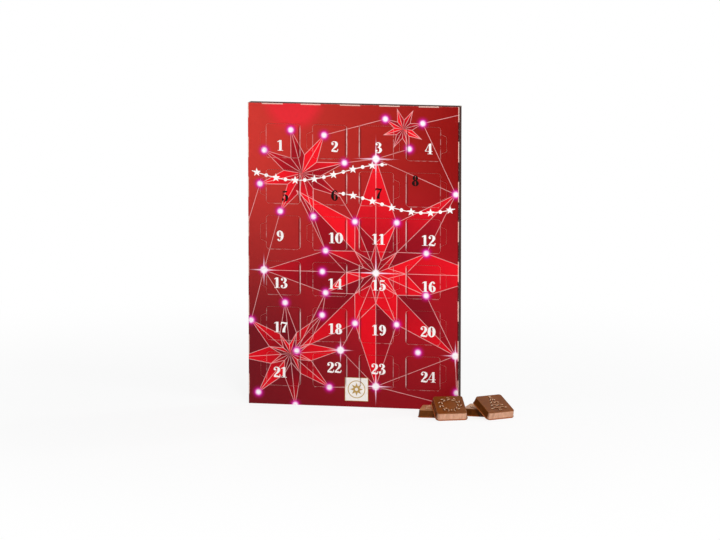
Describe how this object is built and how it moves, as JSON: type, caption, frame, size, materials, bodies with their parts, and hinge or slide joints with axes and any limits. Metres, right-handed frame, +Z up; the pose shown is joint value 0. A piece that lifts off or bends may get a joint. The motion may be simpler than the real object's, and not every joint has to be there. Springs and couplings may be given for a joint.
{
  "type": "chocolate advent calendar",
  "caption": "Flat upright carton with creased number doors over a pocketed tray of square moulded chocolates, and a few loose chocolates in front.",
  "frame": {"origin": "middle of the carton's bottom face, on the surface that it stands on", "axes": "+Z up, -Y out of the printed front, +X to the right seen from the front"},
  "size_m": [0.3093, 0.0876, 0.34],
  "materials": {
    "printed_board": "printed, varnished, semi-gloss",
    "plain_board": "printed dark brown, satin",
    "tray_plastic": "thermoformed, glossy",
    "milk_chocolate": "moulded milk chocolate, soft gloss"
  },
  "bodies": {
    "carton": {"front_panel": "printed_board", "back_panel": "plain_board", "left_side_panel": "plain_board", "right_side_panel": "plain_board", "top_panel": "plain_board", "bottom_panel": "plain_board", "chocolate_tray": "tray_plastic", "chocolate_01": "milk_chocolate", "chocolate_02": "milk_chocolate", "chocolate_03": "milk_chocolate", "chocolate_04": "milk_chocolate", "chocolate_05": "milk_chocolate", "chocolate_06": "milk_chocolate", "chocolate_07": "milk_chocolate", "chocolate_08": "milk_chocolate", "chocolate_09": "milk_chocolate", "chocolate_10": "milk_chocolate", "chocolate_11": "milk_chocolate", "chocolate_12": "milk_chocolate", "chocolate_13": "milk_chocolate", "chocolate_14": "milk_chocolate", "chocolate_15": "milk_chocolate", "chocolate_16": "milk_chocolate", "chocolate_17": "milk_chocolate", "chocolate_18": "milk_chocolate", "chocolate_19": "milk_chocolate", "chocolate_20": "milk_chocolate", "chocolate_21": "milk_chocolate", "chocolate_22": "milk_chocolate", "chocolate_23": "milk_chocolate", "chocolate_24": "milk_chocolate"},
    "door_01": {"door_01": "printed_board"},
    "door_02": {"door_02": "printed_board"},
    "door_03": {"door_03": "printed_board"},
    "door_04": {"door_04": "printed_board"},
    "door_05": {"door_05": "printed_board"},
    "door_06": {"door_06": "printed_board"},
    "door_07": {"door_07": "printed_board"},
    "door_08": {"door_08": "printed_board"},
    "door_09": {"door_09": "printed_board"},
    "door_10": {"door_10": "printed_board"},
    "door_11": {"door_11": "printed_board"},
    "door_12": {"door_12": "printed_board"},
    "door_13": {"door_13": "printed_board"},
    "door_14": {"door_14": "printed_board"},
    "door_15": {"door_15": "printed_board"},
    "door_16": {"door_16": "printed_board"},
    "door_17": {"door_17": "printed_board"},
    "door_18": {"door_18": "printed_board"},
    "door_19": {"door_19": "printed_board"},
    "door_20": {"door_20": "printed_board"},
    "door_21": {"door_21": "printed_board"},
    "door_22": {"door_22": "printed_board"},
    "door_23": {"door_23": "printed_board"},
    "door_24": {"door_24": "printed_board"},
    "loose_gift": {"loose_gift_chocolate": "milk_chocolate"},
    "loose_wreath": {"loose_wreath_chocolate": "milk_chocolate"},
    "loose_bauble": {"loose_bauble_chocolate": "milk_chocolate"},
    "loose_tree": {"loose_tree_chocolate": "milk_chocolate"}
  },
  "joints": [
    {"name": "door_01_crease", "type": "hinge", "parent": "carton", "child": "door_01", "pos_m": [-0.0605, -0.0075, 0.29805], "axis": [0, 0, 1], "range_deg": [0, 165]},
    {"name": "door_02_crease", "type": "hinge", "parent": "carton", "child": "door_02", "pos_m": [-0.0073, -0.0075, 0.29805], "axis": [0, 0, 1], "range_deg": [0, 97]},
    {"name": "door_03_crease", "type": "hinge", "parent": "carton", "child": "door_03", "pos_m": [0.0073, -0.0075, 0.29805], "axis": [0, 0, -1], "range_deg": [0, 97]},
    {"name": "door_04_crease", "type": "hinge", "parent": "carton", "child": "door_04", "pos_m": [0.0605, -0.0075, 0.29805], "axis": [0, 0, -1], "range_deg": [0, 165]},
    {"name": "door_05_crease", "type": "hinge", "parent": "carton", "child": "door_05", "pos_m": [-0.0605, -0.0075, 0.24655], "axis": [0, 0, 1], "range_deg": [0, 165]},
    {"name": "door_06_crease", "type": "hinge", "parent": "carton", "child": "door_06", "pos_m": [-0.0073, -0.0075, 0.24655], "axis": [0, 0, 1], "range_deg": [0, 97]},
    {"name": "door_07_crease", "type": "hinge", "parent": "carton", "child": "door_07", "pos_m": [0.0073, -0.0075, 0.24655], "axis": [0, 0, -1], "range_deg": [0, 97]},
    {"name": "door_08_crease", "type": "hinge", "parent": "carton", "child": "door_08", "pos_m": [0.0605, -0.0075, 0.24655], "axis": [0, 0, -1], "range_deg": [0, 165]},
    {"name": "door_09_crease", "type": "hinge", "parent": "carton", "child": "door_09", "pos_m": [-0.0605, -0.0075, 0.19505], "axis": [0, 0, 1], "range_deg": [0, 165]},
    {"name": "door_10_crease", "type": "hinge", "parent": "carton", "child": "door_10", "pos_m": [-0.0073, -0.0075, 0.19505], "axis": [0, 0, 1], "range_deg": [0, 97]},
    {"name": "door_11_crease", "type": "hinge", "parent": "carton", "child": "door_11", "pos_m": [0.0073, -0.0075, 0.19505], "axis": [0, 0, -1], "range_deg": [0, 97]},
    {"name": "door_12_crease", "type": "hinge", "parent": "carton", "child": "door_12", "pos_m": [0.0605, -0.0075, 0.19505], "axis": [0, 0, -1], "range_deg": [0, 165]},
    {"name": "door_13_crease", "type": "hinge", "parent": "carton", "child": "door_13", "pos_m": [-0.0605, -0.0075, 0.14355], "axis": [0, 0, 1], "range_deg": [0, 165]},
    {"name": "door_14_crease", "type": "hinge", "parent": "carton", "child": "door_14", "pos_m": [-0.0073, -0.0075, 0.14355], "axis": [0, 0, 1], "range_deg": [0, 97]},
    {"name": "door_15_crease", "type": "hinge", "parent": "carton", "child": "door_15", "pos_m": [0.0073, -0.0075, 0.14355], "axis": [0, 0, -1], "range_deg": [0, 97]},
    {"name": "door_16_crease", "type": "hinge", "parent": "carton", "child": "door_16", "pos_m": [0.0605, -0.0075, 0.14355], "axis": [0, 0, -1], "range_deg": [0, 165]},
    {"name": "door_17_crease", "type": "hinge", "parent": "carton", "child": "door_17", "pos_m": [-0.0605, -0.0075, 0.09205], "axis": [0, 0, 1], "range_deg": [0, 165]},
    {"name": "door_18_crease", "type": "hinge", "parent": "carton", "child": "door_18", "pos_m": [-0.0073, -0.0075, 0.09205], "axis": [0, 0, 1], "range_deg": [0, 97]},
    {"name": "door_19_crease", "type": "hinge", "parent": "carton", "child": "door_19", "pos_m": [0.0073, -0.0075, 0.09205], "axis": [0, 0, -1], "range_deg": [0, 97]},
    {"name": "door_20_crease", "type": "hinge", "parent": "carton", "child": "door_20", "pos_m": [0.0605, -0.0075, 0.09205], "axis": [0, 0, -1], "range_deg": [0, 165]},
    {"name": "door_21_crease", "type": "hinge", "parent": "carton", "child": "door_21", "pos_m": [-0.0605, -0.0075, 0.04055], "axis": [0, 0, 1], "range_deg": [0, 165]},
    {"name": "door_22_crease", "type": "hinge", "parent": "carton", "child": "door_22", "pos_m": [-0.0073, -0.0075, 0.04055], "axis": [0, 0, 1], "range_deg": [0, 97]},
    {"name": "door_23_crease", "type": "hinge", "parent": "carton", "child": "door_23", "pos_m": [0.0073, -0.0075, 0.04055], "axis": [0, 0, -1], "range_deg": [0, 97]},
    {"name": "door_24_crease", "type": "hinge", "parent": "carton", "child": "door_24", "pos_m": [0.0605, -0.0075, 0.04055], "axis": [0, 0, -1], "range_deg": [0, 165]},
    {"name": "gift_slide", "type": "slide", "parent": "carton", "child": "loose_gift", "axis": [0, -1, 0], "range_m": [0, 0.08]},
    {"name": "wreath_lift", "type": "slide", "parent": "loose_gift", "child": "loose_wreath", "axis": [0, 0, 1], "range_m": [0, 0.06]},
    {"name": "bauble_slide", "type": "slide", "parent": "carton", "child": "loose_bauble", "axis": [1, 0, 0], "range_m": [0, 0.08]},
    {"name": "tree_lift", "type": "slide", "parent": "loose_bauble", "child": "loose_tree", "axis": [0, 0, 1], "range_m": [0, 0.06]}
  ]
}
